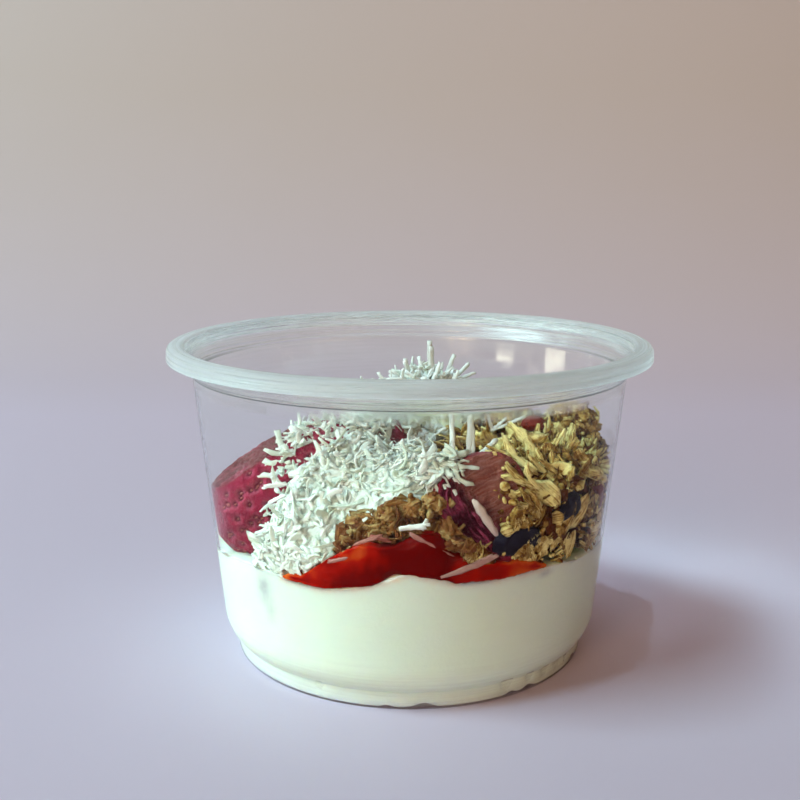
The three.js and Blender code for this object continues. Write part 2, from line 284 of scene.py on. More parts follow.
def tub_profile():
    skirt_foot = TUB_HEIGHT - RIM_DROP
    skirt_inside = RIM_RADIUS - RIM_SHEET
    under_rim = TUB_HEIGHT - RIM_SHEET
    foot_inside = FOOT_RADIUS - FOOT_WIDTH
    lip = MOUTH_RADIUS + RIM_SHEET
    return rounded([
        (0, FLOOR_UNDERSIDE), (foot_inside - 0.4, FLOOR_UNDERSIDE),
        (foot_inside, 0.4), (foot_inside + 0.4, 0), (FOOT_RADIUS - 0.6, 0), (FOOT_RADIUS - 0.1, 0.5),
        *bend_points(0), *side_points(0), LEDGE_LOW, LEDGE_HIGH,
        (lip, under_rim - 0.5), (lip + 0.6, under_rim), (skirt_inside - 0.7, under_rim),
        (skirt_inside - 0.1, under_rim - 0.6), (skirt_inside, skirt_foot), (RIM_RADIUS, skirt_foot),
        (RIM_RADIUS - 0.1, TUB_HEIGHT - 1.2), (RIM_RADIUS - 0.5, TUB_HEIGHT - 0.4),
        (RIM_RADIUS - 1.4, TUB_HEIGHT), (MOUTH_RADIUS + 1.3, TUB_HEIGHT),
        (MOUTH_RADIUS + 0.3, TUB_HEIGHT - 0.4), (MOUTH_RADIUS, TUB_HEIGHT - 1.3),
        (LEDGE_HIGH[0] - WALL, LEDGE_HIGH[1] + 0.1), *inner_points(),
    ], 0.35)


def clear_plastic(place):
    streaks = grain(place, 3.0, 2, stretch=(1, 1, 0.06))
    outward = place.node("VectorMath", {"operation": "MULTIPLY"}, {0: place, 1: (1, 1, 0)})
    outward = outward.node("VectorMath", {"operation": "LENGTH"}, {0: outward}, "Value")
    x, z = parts(place, "XZ")
    rings = rising(grain_along(outward * 1.3, z * 1.3, x * 0.026, 3.0), 0.38, 0.64)
    cloudiness = tone(place, "cloudiness")
    relief = bumps(streaks * 0.05 + rings * cloudiness * cloudiness * 25.0, 0.35, 0.8)
    blur = grain(place, 14.0, 2) * 0.05 + cloudiness
    shared = {"Base Color": CLEAR, "Transmission Weight": 1.0, "Normal": relief}
    wetted, bare = (
        place.node("BsdfPrincipled", {}, {"Roughness": blur + sheen, "IOR": bending, **shared})
        for bending, sheen in ((WETTED_IOR, 0.02), (BARE_IOR, 0.03))
    )
    cloudy = place.node("BsdfPrincipled", {}, {"Base Color": CLOUDED, "Roughness": 0.35})
    cloudy = mixed(0.45, cloudy, place.node("BsdfTranslucent", {}, {"Color": CLOUDED}))
    sheet = mixed(tone(place, "gloss"), wetted, bare)
    sheet = mixed(cloudiness * (streaks * 0.6 + rings * 1.2), sheet, cloudy)
    # A near-black sheet is mixed in along the ledge line at the front only: painted shade.
    shade = place.node("BsdfPrincipled", {}, {"Base Color": (0.03, 0.04, 0.04, 1), "Roughness": 0.4})
    sheet = mixed(tone(place, "crease") * 0.7, sheet, shade)
    lamp_ray = place.node("LightPath", result="Is Shadow Ray")
    return mixed(lamp_ray, sheet, place.node("BsdfTransparent", {}, {"Color": CLEAR}))


points, faces = turned(tub_profile(), 192)
x, y, z = points.T
cloudiness = np.interp(z, *zip(*CLOUDINESS)) + np.interp(np.hypot(x, y), (54.2, 56.5), (0, 0.17))
at_back = np.interp(y, (5, 30), (0, 1))
gloss = np.interp(z + 11 * at_back, (66, 69), (0, 1))
# Painted shade: a dark line along the front of the ledge, none at the back.
crease = bell(z - LEDGE_LOW[1], 0.12) * (1 - at_back)
put_in("clear_plastic", "cup", "tub", points, faces, made_material("clear_polypropylene", clear_plastic),
       cloudiness=cloudiness, gloss=gloss, crease=crease)

# ------------------------------------------------------------------ the yogurt
# Thick strained yogurt, spooned in and settled against the wall, where its edge swells and dips. It wets the
# plastic all the way down and fills the foot ring, but for a few pockets of air along the ring's lower edge.
YOGURT_LEVEL = 30.3
YOGURT_SWELLS = [(-90, 9, 3.0), (-60, 14, 1.4), (-117, 14, -1.4), (-163, 16, -2.6), (70, 40, -0.8)]
AIR_POCKETS = [(-86, 3.2, 1), (-97, 1.6, 0.5), (-58, 1.8, 0.7), (-51, 2.2, 0.9), (-24, 3, 0.8), (112, 4, 1)]
STEP_POCKETS = [
    (-60, 1.8, 1.0), (-51, 1.3, 0.8), (-44, 1.2, 0.9), (-37, 1.5, 1.0), (-31, 1.0, 0.7), (-118, 1.6, 0.4),
]
INTO_WALL = 0.2
ROWS_FROM = 24.0
EDGE_ROWS = 10

# How far the compote's juice has crept in, and where berries have smeared the yogurt: place, size, amount.
JUICE_REACH = 1.1
SMEARS = [
    ((-32.5, -35, 25.5), (1.6, 3, 2.6), 0.9), ((-31, -36, 21), (1.2, 3, 2.2), 0.5),
    ((29.5, -38, 30), (1.5, 3, 0.9), 0.8),
]


def swells(angle, humps):
    """The sum of soft humps round the tub, each (angle, width, rise) in degrees and millimetres."""
    return sum(rise * bell((angle - at + 540) % 360 - 180, width) for at, width, rise in humps)


def cloud(points, size, seed=0.0, octaves=3):
    """Noise from about -1 to 1 at each point, whose lumps are about this many millimetres across."""
    shift = Vector((seed * 17.3, seed * 7.1, seed * 3.7))
    return np.array([noise.fractal(Vector(p) / size + shift, 0.7, 2.0, octaves) for p in points])


def near(points, spot, size):
    """1 at a spot, fading out over a size."""
    return bell(norm((points - spot) / size, axis=1), 1)


def cad_skin(node):
    """A CAD solid's skin in millimetres, to measure from."""
    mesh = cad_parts[node].data
    return BVHTree.FromPolygons([v.co * 1000 for v in mesh.vertices], [p.vertices[:] for p in mesh.polygons])


def opaque(colour, roughness, relief=None, mirroring=0.5, seeping=0.0, reach=(1, 1, 1), **others):
    """A shader for food and card. reach is how far red, green and blue light seep in, in millimetres."""
    inputs = {
        "Base Color": colour, "Roughness": roughness, "Specular IOR Level": mirroring,
        "Subsurface Weight": seeping, "Subsurface Radius": [depth / 1000 for depth in reach],
        "Subsurface Scale": 1.0, **others,
    }
    if relief:
        inputs["Normal"] = relief
    return colour.node("BsdfPrincipled", {}, inputs)


def yogurt_shape():
    """Points, faces and tones of the yogurt. Its side has close rows of points under the uneven top edge."""
    low = [(r, z) for r, z in inner_points(-INTO_WALL)[::-1] if z < 12]
    heights = [16, 20, ROWS_FROM] + [ROWS_FROM + row / EDGE_ROWS for row in range(1, EDGE_ROWS)]
    side = [(wall_radius(min(z, ROWS_FROM)) + INTO_WALL, z) for z in heights]
    top = [(r, 40) for r in (49, 48.4, 47, 45, 42, 38.5, 35, 31, 27, 23, 19, 15, 11, 7, 3, 0)]
    points, faces = turned(rounded(low, 0.3, 2) + side + top, 300)
    x, y, z = points.T
    reach = np.hypot(x, y)
    angle = np.degrees(np.arctan2(y, x))
    height = YOGURT_LEVEL + 0.35 * np.sin(x / 6.5 + 1.2) * np.cos(y / 7.5)
    height += np.minimum(1, reach / 46) ** 4 * swells(angle, YOGURT_SWELLS)
    height += 0.45 * cloud(points, 7, 1) * np.minimum(1, reach / 30)
    surface = z > 30
    edge_row = (z > ROWS_FROM + 0.01) & (z < ROWS_FROM + 0.99)
    z[edge_row] = (ROWS_FROM + (z - ROWS_FROM) * (height - ROWS_FROM))[edge_row]
    z[surface] = height[surface]
    on_wall = edge_row | surface & (reach > 48.9)
    points[on_wall, :2] *= ((wall_radius(z[on_wall]) + INTO_WALL) / reach[on_wall])[:, None]
    channel = (z < 1.5) & (reach > 40)
    z[channel] += swells(angle, AIR_POCKETS)[channel]
    at_step = (np.abs(z - FOOT_HEIGHT) < 0.9) & (reach > 40)
    points[:, :2] *= (1 - 0.025 * swells(angle, STEP_POCKETS) * at_step)[:, None]
    compote = cad_skin("compote")
    apart = np.array([compote.find_nearest(Vector(p))[3] for p in points])
    smear = sum(amount * near(points, spot, size) for spot, size, amount in SMEARS)
    return points, faces, {"juice": bell(apart, JUICE_REACH), "smear": smear}


def yogurt_look(place):
    mottle = grain(place, 9.0, 4)
    specks = grain(place, 0.9, 2)
    colour = blend(mottle, (0.73, 0.83, 0.74), (0.78, 0.88, 0.80))
    colour = blend(tone(place, "juice") * (grain(place, 2.5, 3) * 1.6 - 0.15), colour, (0.80, 0.36, 0.20))
    colour = blend(tone(place, "smear") * (grain(place, 1.6, 3) + 0.4), colour, (0.40, 0.42, 0.47))
    relief = bumps(mottle * 0.7 + specks * 0.3, 0.5, 0.4)
    return opaque(colour, specks * 0.2 + 0.28, relief, 0.2, seeping=1.0, reach=(4.5, 4.0, 3.0))


points, faces, tones = yogurt_shape()
put_in("yogurt", "yogurt", "thick_yogurt", points, faces, made_material("yogurt", yogurt_look), **tones)

# ------------------------------------------------------------------ the strawberries
# Three ripe strawberries: a large one against the left wall with a slice taken off its upper side, a small
# end between the heaps, and a half pushed in tip down with its cut face forward. Their seeds sit in pits of
# the puffed skin, and the cut flesh shows pale fibres that run out from the core.

# Length, radius, height of the cut over the axis, stem end, lengthwise and upward directions.
STRAWBERRIES = {
    "strawberry_left": (46, 16.5, 11, (-45.5, -11, 31), (0.84, 0, 0.54), (-0.54, 0, 0.84)),
    "strawberry_middle": (22, 9, 3, (-9, -5, 36), (0.25, -0.05, 0.95), (-0.5, 0.8, 0.3)),
    "strawberry_front": (25, 9.5, 2.5, (11, -40, 56.5), (0.4, -0.06, -0.9), (0.3, -0.94, 0.15)),
}
SEED_SPACING = 2.6
SEED_SIZE = (0.52, 0.30, 0.22)
PIT_DEPTH = 0.8
PIT_RADIUS = 0.85
GOLDEN_ANGLE = math.pi * (3 - math.sqrt(5))
RIPENESS = 0.6

# Blueberry juice has soaked the lower left of the front half, up to a line through these places in x and z.
SOAKED_FROM = (9, 51)
SOAKED_TO = (19, 40)


def unit(vectors):
    return vectors / norm(vectors, axis=-1, keepdims=True)


def placement(along, upward):
    """Three axes as columns: the first points along a direction, the third leans towards another."""
    first = unit(np.array(along, float))
    second = unit(np.cross(upward, first))
    return np.column_stack((first, second, np.cross(first, second)))


def inside_tub(points, clearance=0.12):
    """Presses whatever would stick out through the wall flat against its inner face."""
    reach = np.hypot(points[:, 0], points[:, 1])
    squeeze = np.minimum(1, (wall_radius(points[:, 2]) - clearance) / np.maximum(reach, 1))
    return points * np.column_stack((squeeze, squeeze, np.ones(len(points))))


def fullness(t):
    """How wide a strawberry is at t, which runs from its stem end, 0, to its tip, 1."""
    return np.sin(np.pi * t**0.62) ** 0.78


def berry_skin(length, radius, t, turn):
    """A place on a whole strawberry: t runs from stem end to tip, and turn goes round it."""
    reach = radius * fullness(t)
    unevenness = 1 + 0.035 * np.sin(2 * turn + 0.7) + 0.03 * np.sin(3 * turn + t * length / 9)
    return np.column_stack((t * length, reach * unevenness * np.cos(turn), reach * unevenness * np.sin(turn)))


def seed_places(length, radius):
    """Evenly spaced (t, turn) pairs over the skin, each a golden angle on from the last."""
    count = int(2 * math.pi * radius * length * 0.72 / SEED_SPACING**2)
    number = np.arange(count)
    steps = np.linspace(0.04, 0.97, 400)
    share = np.cumsum(fullness(steps))
    t = np.interp((number + 0.5) / count, share / share[-1], steps)
    t += 0.35 * SEED_SPACING / length * np.sin(number * 2.3)
    return np.clip(t, 0.02, 0.98), number * GOLDEN_ANGLE + 0.12 * np.sin(number * 4.1)


def strawberry(length, radius, cut, origin, along, upward):
    """Points, faces and tones of a strawberry in its place, and the places and axes of its seeds."""
    rings, facets = int(length * 2.6), int(radius * 11)
    t, turn = np.meshgrid(np.linspace(0, 1, rings + 1), np.arange(facets) * 2 * np.pi / facets, indexing="ij")
    points = berry_skin(length, radius, np.clip(t.ravel(), 0.0005, 0.9995), turn.ravel())
    seeds = berry_skin(length, radius, *seed_places(length, radius))
    tree = KDTree(len(seeds))
    for i, seed in enumerate(seeds):
        tree.insert(seed, i)
    tree.balance()
    apart = np.array([tree.find(p)[2] for p in points])
    outward = unit(points * (0, 1, 1) + (1e-6, 0, 0))
    pit = bell(apart, PIT_RADIUS)
    points += outward * (0.28 * np.minimum(apart, 1.6) - PIT_DEPTH * pit)[:, None]
    flesh = 1 / (1 + np.exp(-(points[:, 2] - cut) / 0.25))
    width = np.abs(points[:, 1]).reshape(t.shape).max(1).repeat(facets) + 0.1
    core = np.hypot(points[:, 1] / width, 0.15)
    points[:, 2] -= 0.5 * np.logaddexp(0, (points[:, 2] - cut) / 0.5)
    points[:, 2] += flesh * (0.35 * cloud(points, 1.4, 5) - 0.35 * bell(core, 0.3))
    index = np.arange(t.size).reshape(t.shape)
    low, high = index[:-1], index[1:]
    quads = np.stack((low, high, np.roll(high, -1, 1), np.roll(low, -1, 1)), 2).reshape(-1, 4)
    faces = quads[:, ::-1].tolist() + [index[0].tolist(), index[-1, ::-1].tolist()]
    seeds = seeds[seeds[:, 2] < cut - 0.5]
    seed_out = unit(seeds * (0, 1, 1))
    seed_axes = np.stack((np.tile((1.0, 0, 0), (len(seeds), 1)), np.cross(seed_out, (1, 0, 0)), seed_out), 2)
    axes = placement(along, upward)
    seed_spots = (seeds - seed_out * (PIT_DEPTH - 0.22)) @ axes.T + origin
    tones = {"flesh": flesh, "pit": pit, "core": core, "along": t.ravel()}
    return inside_tub(points @ axes.T + origin), faces, tones, seed_spots, axes @ seed_axes


def repeated(faces, starts):
    """The same faces again for the points from each start on."""
    return [tuple(v + start for v in face) for start in starts for face in faces]


def joined(shape, spots, axes, sizes):
    """Copies of a shape as one mesh, each at its spot, turned to its axes and stretched by its sizes."""
    points, faces = shape
    placed = np.einsum("nij,nj,pj->npi", axes, sizes, points) + spots[:, None]
    return placed.reshape(-1, 3), repeated(faces, range(0, len(spots) * len(points), len(points)))


def ball(level):
    """A unit sphere of even triangles."""
    shape = bmesh.new()
    bmesh.ops.create_icosphere(shape, subdivisions=level, radius=1)
    points = np.array([v.co for v in shape.verts])
    faces = [tuple(v.index for v in f.verts) for f in shape.faces]
    shape.free()
    return points, faces


def strawberry_look(place):
    flesh, pit, core, along = (tone(place, name) for name in ("flesh", "pit", "core", "along"))
    sway = grain(place, 5.0, 2) * 3.0
    fibres = grain_along(core * 1.6, along * 46.0 + sway)
    threads = grain_along(core * 14.0 + sway, along * 5.0)
    patches = grain(place, 2.4, 4, 0.7)
    skin = blend(patches, (0.10, 0.002, 0.016), (0.40, 0.022, 0.064))
    # Painted highlight: a pale pink rim round each pit.
    skin = blend(pit * (1 - pit) * 1.8, skin, (0.56, 0.12, 0.19))
    # Painted shade: the hollow of each pit darkened.
    skin = blend(pit ** 1.3, skin, (0.045, 0.001, 0.008))
    red = blend(patches, (0.07, 0.006, 0.014), (0.42, 0.12, 0.09))
    pale = blend(patches, (0.24, 0.09, 0.09), (0.46, 0.24, 0.21))
    soaked = blend(rising(threads, 0.5, 0.66), (0.045, 0.002, 0.012), (0.34, 0.05, 0.12))
    inside = blend(tone(place, "stain"), blend(rising(fibres, 0.40, 0.70), red, pale), soaked)
    relief = bumps(fibres * flesh * 0.5 + grain(place, 1.1, 4) * 0.9, 0.8, 0.9)
    return opaque(blend(flesh, skin, inside), grain(place, 0.7, 2) * 0.25 + 0.15, relief, 0.03,
                  seeping=0.05, reach=(4.0, 0.8, 0.8))


def seed_look(place):
    colour = blend(grain(place, 2.0, 1), (0.20, 0.022, 0.03), (0.50, 0.15, 0.14))
    return opaque(colour, grain(place, 0.6) * 0.2 + 0.25)


strawberry_material = made_material("strawberry", strawberry_look)
seed_spots, seed_axes = [], []
for name, berry in STRAWBERRIES.items():
    points, faces, tones, spots, axes = strawberry(*berry)
    slot, stain = "strawberry_skin", [RIPENESS]
    if name == "strawberry_front":
        (x, z), (run, rise) = SOAKED_FROM, np.subtract(SOAKED_TO, SOAKED_FROM)
        past = ((points[:, 2] - z) * run - (points[:, 0] - x) * rise) / math.hypot(run, rise)
        slot, stain = "strawberry_flesh", 1 / (1 + np.exp((past - 1.5 - 1.2 * cloud(points, 2.0, 8)) / 0.6))
    put_in(slot, name, "cut_" + name, points, faces, strawberry_material, stain=stain, **tones)
    seed_spots.append(spots)
    seed_axes.append(axes)

seed_spots = np.concatenate(seed_spots)
seed_sizes = np.tile(SEED_SIZE, (len(seed_spots), 1))
points, faces = joined(ball(1), seed_spots, np.concatenate(seed_axes), seed_sizes)
put_in("strawberry_skin", None, "strawberry_seeds", inside_tub(points), faces,
       made_material("strawberry_seed", seed_look))

# ------------------------------------------------------------------ the banana slice
# One slice of banana, cut straight across and tucked upright between the coconut heaps. Banana is a little
# three-sided, with pale flesh and a faint star of darker lines where its seeds would be.
BANANA_RADIUS = 13.8
BANANA_THICKNESS = 8.0
BANANA_AXES = ((1, 0.08, 0.05), (0.1, -0.93, 0.36))


def middle(node):
    """The centre of a CAD piece's box, in millimetres."""
    low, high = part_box(node)
    return np.array(low + high) * 500


def banana_slice():
    half = BANANA_THICKNESS / 2
    rings = [(r, -half) for r in (0, 0.25, 0.5, 0.75, 0.92)]
    rings += [(1, 1.2 - half), (1.01, 0), (1, half - 1.2), (0.92, half), (0.8, half + 0.05)]
    rings += [(r, half + 0.2) for r in (0.6, 0.4, 0.2, 0.1)] + [(0, half + 0.25)]
    outline = rounded([(r * BANANA_RADIUS, z) for r, z in rings], 0.5, 3)
    points, faces = turned([(0 if r < 1e-6 else r, z) for r, z in outline], 96)
    x, y, z = points.T
    turn = np.arctan2(y, x)
    core = np.hypot(x, y) / BANANA_RADIUS
    star = bell(core, 0.32) * (0.5 + 0.5 * np.cos(3 * turn))
    points[:, :2] *= (1 + 0.028 * np.cos(3 * turn) + 0.035 * np.cos(2 * turn + 0.6))[:, None]
    z += 0.12 * cloud(points, 3.0, 3) - 0.4 * star
    return points @ placement(*BANANA_AXES).T + middle("banana_slice"), faces, star


def banana_look(place):
    mottle = grain(place, 3.0, 4)
    pale = blend(mottle, (0.70, 0.77, 0.52), (0.82, 0.89, 0.68))
    colour = blend(tone(place, "star"), pale, (0.48, 0.42, 0.20))
    return opaque(colour, mottle * 0.3 + 0.3, bumps(mottle, 0.3, 0.5), seeping=0.3, reach=(3, 2, 1))


points, faces, star = banana_slice()
put_in("banana", "banana_slice", "banana_disc", points, faces,
       made_material("banana_flesh", banana_look), star=star)

# ------------------------------------------------------------------ the small berries
# Two blueberries, one whole and one half crushed, with a waxy bloom over dark skin and the small crown that
# the flower leaves; and two shrivelled dried berries, their red skin drawn into long wrinkles.

# Half sizes, lengthwise and upward directions, and how deep the wrinkles are.
BERRIES = {
    "blueberry_right": ((6.4, 6.3, 5.9), (1, 0.6, 0.3), (-0.3, 0.1, 1), 0.0),
    "blueberry_front": ((6.6, 4.2, 3.6), (0.9, 0.4, 0.12), (-0.1, 0.1, 1), 0.25),
    "dried_berry_right": ((4.6, 2.6, 2.2), (0.1, 0.2, 1), (1, -0.4, 0), 0.5),
    "dried_berry_top": ((3.2, 2.4, 1.9), (1, 0.2, -0.1), (0, -0.4, 1), 0.6),
}


def small_berry(node, radii, along, upward, wrinkle):
    points, faces = ball(5)
    x, y, z = points.T
    lump = 1 + 0.05 * np.sin(3 * x + 2 * z) + 0.04 * np.cos(4 * y - x)
    folds = np.abs(cloud(points * (1, 3, 3), 1.3, 4, 2))
    polar = np.arccos(np.clip(z, -1, 1))
    crown = 0.06 * bell(polar - 0.36 - 0.05 * np.cos(5 * np.arctan2(y, x)), 0.07) - 0.09 * bell(polar, 0.26)
    relief = (crown if wrinkle < 0.4 else 0) + 0.03 * cloud(points, 0.5, 6) - wrinkle * 0.35 * folds
    points = points * (lump * (1 + relief))[:, None] * radii
    return inside_tub(points @ placement(along, upward).T + middle(node)), faces


def blueberry_look(place):
    bloom = grain(place, 2.2, 4)
    colour = blend(rising(bloom, 0.45, 0.7), (0.010, 0.007, 0.018), (0.035, 0.035, 0.070))
    return opaque(colour, bloom * 0.5 + 0.15, bumps(bloom, 0.2, 0.4), 0.05)


def dried_berry_look(place):
    patches = grain(place, 1.6, 3)
    colour = blend(patches, (0.10, 0.005, 0.006), (0.27, 0.030, 0.015))
    return opaque(colour, patches * 0.3 + 0.25, bumps(patches, 0.3, 0.5), 0.05)


blueberry = ("blueberry_skin", made_material("blueberry_skin", blueberry_look))
dried_berry = ("dried_berry", made_material("dried_berry_skin", dried_berry_look))
for name, berry in BERRIES.items():
    slot, material = blueberry if name.startswith("blueberry") else dried_berry
    put_in(slot, name, "whole_" + name, *small_berry(name, *berry), material)

# ------------------------------------------------------------------ the compote
# Strawberry compote, a soft set jelly that lies on the yogurt and wets the front wall. It is dark where it is
# thick, and has a painted orange glow where light would get through its thin edges. A whole soft berry is
# squeezed flat in it.

# Where an orange glow is painted as if light got through a thin place, and where a lump of fruit makes it
# dark:
# place, reach and amount.
COMPOTE_GLOWS = [
    ((-10, -47, 39), 3.2, 0.42), ((-14, -46, 36.5), 3, 0.25), ((24, -43, 33), 4.5, 0.45),
    ((-20, -43, 32), 4, 0.3), ((14, -46, 32.5), 4, 0.25), ((4, -48, 37), 6, -0.4),
    ((9.5, -47, 34.5), 2.5, 0.35),
]
# The ramp runs from the jelly's own dark red to the painted orange glow.
COMPOTE_COLOURS = [(0.02, (0.13, 0.0006, 0.0006)), (0.3, (0.38, 0.006, 0.002)), (0.8, (0.75, 0.15, 0.02))]

# Where oats keep the jelly off the wall: place and reach.
COMPOTE_HOLLOWS = [((11.5, -47, 40.5), 3.6), ((-1.5, -48, 42.5), 2.4), ((-3.5, -48, 31.5), 1.8)]
SOFT_BERRY = (4.2, -46.4, 37.0)
SOFT_BERRY_RADII = (4.2, 2.8, 5.6)


def softened(node, voxel, rounds):
    """Points, faces and outward directions of a CAD solid, as a fine even mesh with its edges worn round."""
    rough = linked("rough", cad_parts[node].data.copy())
    remesh = rough.modifiers.new("remesh", "REMESH")
    remesh.mode = "VOXEL"
    remesh.voxel_size = voxel / 1000
    smooth = rough.modifiers.new("smooth", "SMOOTH")
    smooth.iterations = rounds
    mesh = bpy.data.meshes.new_from_object(rough.evaluated_get(bpy.context.evaluated_depsgraph_get()))
    bpy.data.objects.remove(rough)
    points = np.array([v.co for v in mesh.vertices]) * 1000
    outward = np.array([v.normal for v in mesh.vertices])
    faces = [tuple(p.vertices) for p in mesh.polygons]
    bpy.data.meshes.remove(mesh)
    return points, faces, outward


def thickness_behind(points, faces, outward, skin=0.3):
    """How far straight in from each point the far side of its own body is, looked for from under its skin."""
    tree = BVHTree.FromPolygons(points.tolist(), faces)
    hits = [tree.ray_cast(Vector(p - out * skin), Vector(-out)) for p, out in zip(points, outward)]
    return np.array([(hit[3] or 0) + skin for hit in hits])


def compote_shape():
    points, faces, outward = softened("compote", 0.55, 9)
    depth = thickness_behind(points, faces, outward)
    points = points + outward * (0.35 + 0.35 * cloud(points, 3.5, 11))[:, None]
    reach = np.hypot(points[:, 0], points[:, 1])
    wall = wall_radius(points[:, 2])
    pressed = reach > wall - 1.5
    held_off = sum(near(points, spot, size) for spot, size in COMPOTE_HOLLOWS)
    points[:, :2] *= (np.where(pressed, (wall + 0.3) / reach, 1) - np.minimum(held_off, 1) * 0.07)[:, None]
    # Painted glow: thin places and the listed glow spots are made orange in the colour.
    glows = sum(amount * near(points, spot, size) for spot, size, amount in COMPOTE_GLOWS)
    return points, faces, {"thin": np.exp(-depth / 2.2) * 0.6 + glows, "wet": np.where(pressed, 0.0, 1.0)}


def compote_look(place):
    cloudy = grain(place, 4.0, 3)
    # The painted glow, brighter orange where the piece is thin or a glow spot lies.
    glow = tone(place, "thin") + (cloudy - 0.5) * 0.6 + (grain(place, 1.5, 4, 0.7) - 0.5) * 0.25
    coat = {"Coat Weight": tone(place, "wet") * 0.8, "Coat Roughness": 0.04}
    return opaque(shades(glow, *COMPOTE_COLOURS), cloudy * 0.12 + 0.06, bumps(cloudy, 0.5, 0.3), 0.03,
                  seeping=0.25, reach=(5, 0.6, 0.3), **coat)


points, faces, tones = compote_shape()
compote_material = made_material("strawberry_compote", compote_look)
put_in("compote", "compote", "fruit_compote", points, faces, compote_material, **tones)

points, faces = ball(4)
points = points * (1 + 0.06 * cloud(points, 0.9, 14))[:, None] * SOFT_BERRY_RADII
points = inside_tub(points + SOFT_BERRY, -0.45)
put_in("compote", None, "soft_berry", points, faces, compote_material, thin=0.3 * cloud(points, 3, 15) - 0.1)

# ------------------------------------------------------------------ the granola
# Toasted granola: whole rolled oat flakes, bundles of broken slivers and crumbs, stuck together in nuggets
# with syrup and loose. It is heaped on the right, and a pocket of it shows between coconut and compote.
OAT_FLAKES = 300
FLAKE_SHAPES = 5
SLIVER_BUNDLES = 270
SLIVERS_EACH = 4
OAT_CRUMBS = 800
NUGGETS = 36
PALE_OAT = (0.95, 0.81, 0.37)
TOASTED_OAT = (0.45, 0.27, 0.07)
DARK_OAT = (0.09, 0.020, 0.004)

# Flakes against the wall, and one in the pocket: middle, half sizes, outward and lengthwise directions.
PLACED_FLAKES = [
    ((29.6, -38, 48), (4.8, 2.6, 2.6), (-0.35, -0.8, 0.45), (0.82, 0, -0.58)),
    ((37.8, -30.5, 42), (4.8, 2.6, 2), (0.45, -0.85, 0.1), (0.6, 0.3, 0.75)),
    ((34.6, -34, 41), (4.4, 2.2, 2.4), (0.3, -0.9, 0.3), (0.5, 0.2, 0.75)),
    ((36.2, -33, 34.8), (3.4, 2.4, 3.4), (0.3, -0.9, -0.2), (0.3, 0.1, 0.9)),
    ((31.5, -36.5, 41.5), (2.6, 2.2, 2), (0.2, -1, 0.2), (1, 0.2, 0.2)),
    ((37.5, -27.5, 48), (6, 1.6, 2), (0.6, -0.7, 0.3), (0.45, 0.2, 0.85)),
    ((24.5, -40, 47), (3.2, 2.2, 2.4), (0.1, -1, 0.4), (0.9, 0.2, -0.5)),
    ((-3, -44, 46), (3.3, 2.6, 2.4), (-0.2, -1, 0.3), (0.9, 0, 0.4)),
]
FLAKES_ON_WALL = 7
BARE_AROUND_THEM = 3.8

# Clusters round the pocket, half over the front strawberry, and on the far right: middle and half sizes.
PLACED_NUGGETS = [
    ((5, -44.5, 47.8), (2.6, 2, 2.2)), ((7.6, -45.6, 42.5), (2.2, 1.8, 2.6)),
    ((-4.5, -43.5, 45), (2.4, 2, 2)), ((0.5, -43.8, 46.4), (2.2, 1.8, 2)),
    ((24.6, -42.4, 36), (2.6, 1.6, 1.8)), ((29, -39.6, 36.8), (2.4, 1.8, 2)),
    ((22.4, -42.8, 44), (2, 1.4, 2.4)), ((26, -38.5, 44.5), (2.4, 2.2, 2.4)),
    ((41.5, 4, 56.2), (3.4, 3.6, 3)), ((38, 2, 57.4), (2.8, 3, 2.4)), ((44, 0, 55.4), (2.6, 3, 2.4)),
]

# Splinters that stand out of the heap: foot, tip, width of each, how many, how toasted.
PLACED_SPLINTERS = [
    ((28.6, -27.5, 51), (27.6, -25.5, 61), 2.6, 2, 0.1),
    ((26.5, -37, 52.5), (17, -32, 57.5), 1.4, 6, 0.15),
    ((33, -33, 49.5), (26.5, -31, 56), 1.5, 4, 0.3),
    ((26.5, -41.8, 50.5), (19, -43.2, 55.5), 1.4, 5, 0.2),
    ((27.5, -41.4, 44.5), (22.5, -43.2, 50.5), 1.5, 5, 0.45),
    ((38.5, -28, 43), (41, -22, 53.5), 1.4, 3, 0.2),
    ((34.5, -25, 52), (38.5, -18, 58), 1.3, 4, 0.25),
    ((20.5, -41.5, 49.5), (26, -39.5, 47.5), 1.3, 3, 0.35),
]

# The outline across a strip, in shares of its width and thickness.
SECTION = [(-0.5, 0), (-0.3, 0.5), (0.3, 0.5), (0.5, 0), (0.3, -0.5), (-0.3, -0.5)]


def exposed_spots(node, count, room=1.4, chosen=None):
    """Random places on a CAD solid's skin that no neighbour lies against, and the ways outward there."""
    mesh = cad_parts[node].data
    corners = np.array([[mesh.vertices[v].co for v in p.vertices] for p in mesh.polygons]) * 1000
    crossed = np.cross(corners[:, 1] - corners[:, 0], corners[:, 2] - corners[:, 0])
    area = norm(crossed, axis=1)
    neighbours = [cad_skin(name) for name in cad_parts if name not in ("cup", node)]
    spots, outward = [], []
    while len(spots) < count:
        face = rng.choice(len(corners), p=area / area.sum())
        share = np.sort(rng.random(2))
        spot = np.array((share[0], share[1] - share[0], 1 - share[1])) @ corners[face]
        direction = crossed[face] / area[face]
        if direction[2] < -0.6 or (chosen and not chosen(*spot)):
            continue
        start, ray = Vector(spot + direction * 0.02), Vector(direction)
        if not any(skin.ray_cast(start, ray, room)[0] for skin in neighbours):
            spots.append(spot)
            outward.append(direction)
    return np.array(spots), np.array(outward)


def jitter(things):
    """Three random numbers for each thing."""
    return rng.normal(size=(len(things), 3))


def leaning(outward, lean):
    """Axes for things that lie on a skin: the third points outward but for a lean, the first anywhere."""
    third = unit(outward + lean * jitter(outward))
    first = unit(np.cross(third, jitter(outward)))
    return np.stack((first, np.cross(third, first), third), 2)


def swung(first, second, angle):
    """Two directions turned together by an angle, the first towards the second."""
    return first * np.cos(angle) + second * np.sin(angle), second * np.cos(angle) - first * np.sin(angle)


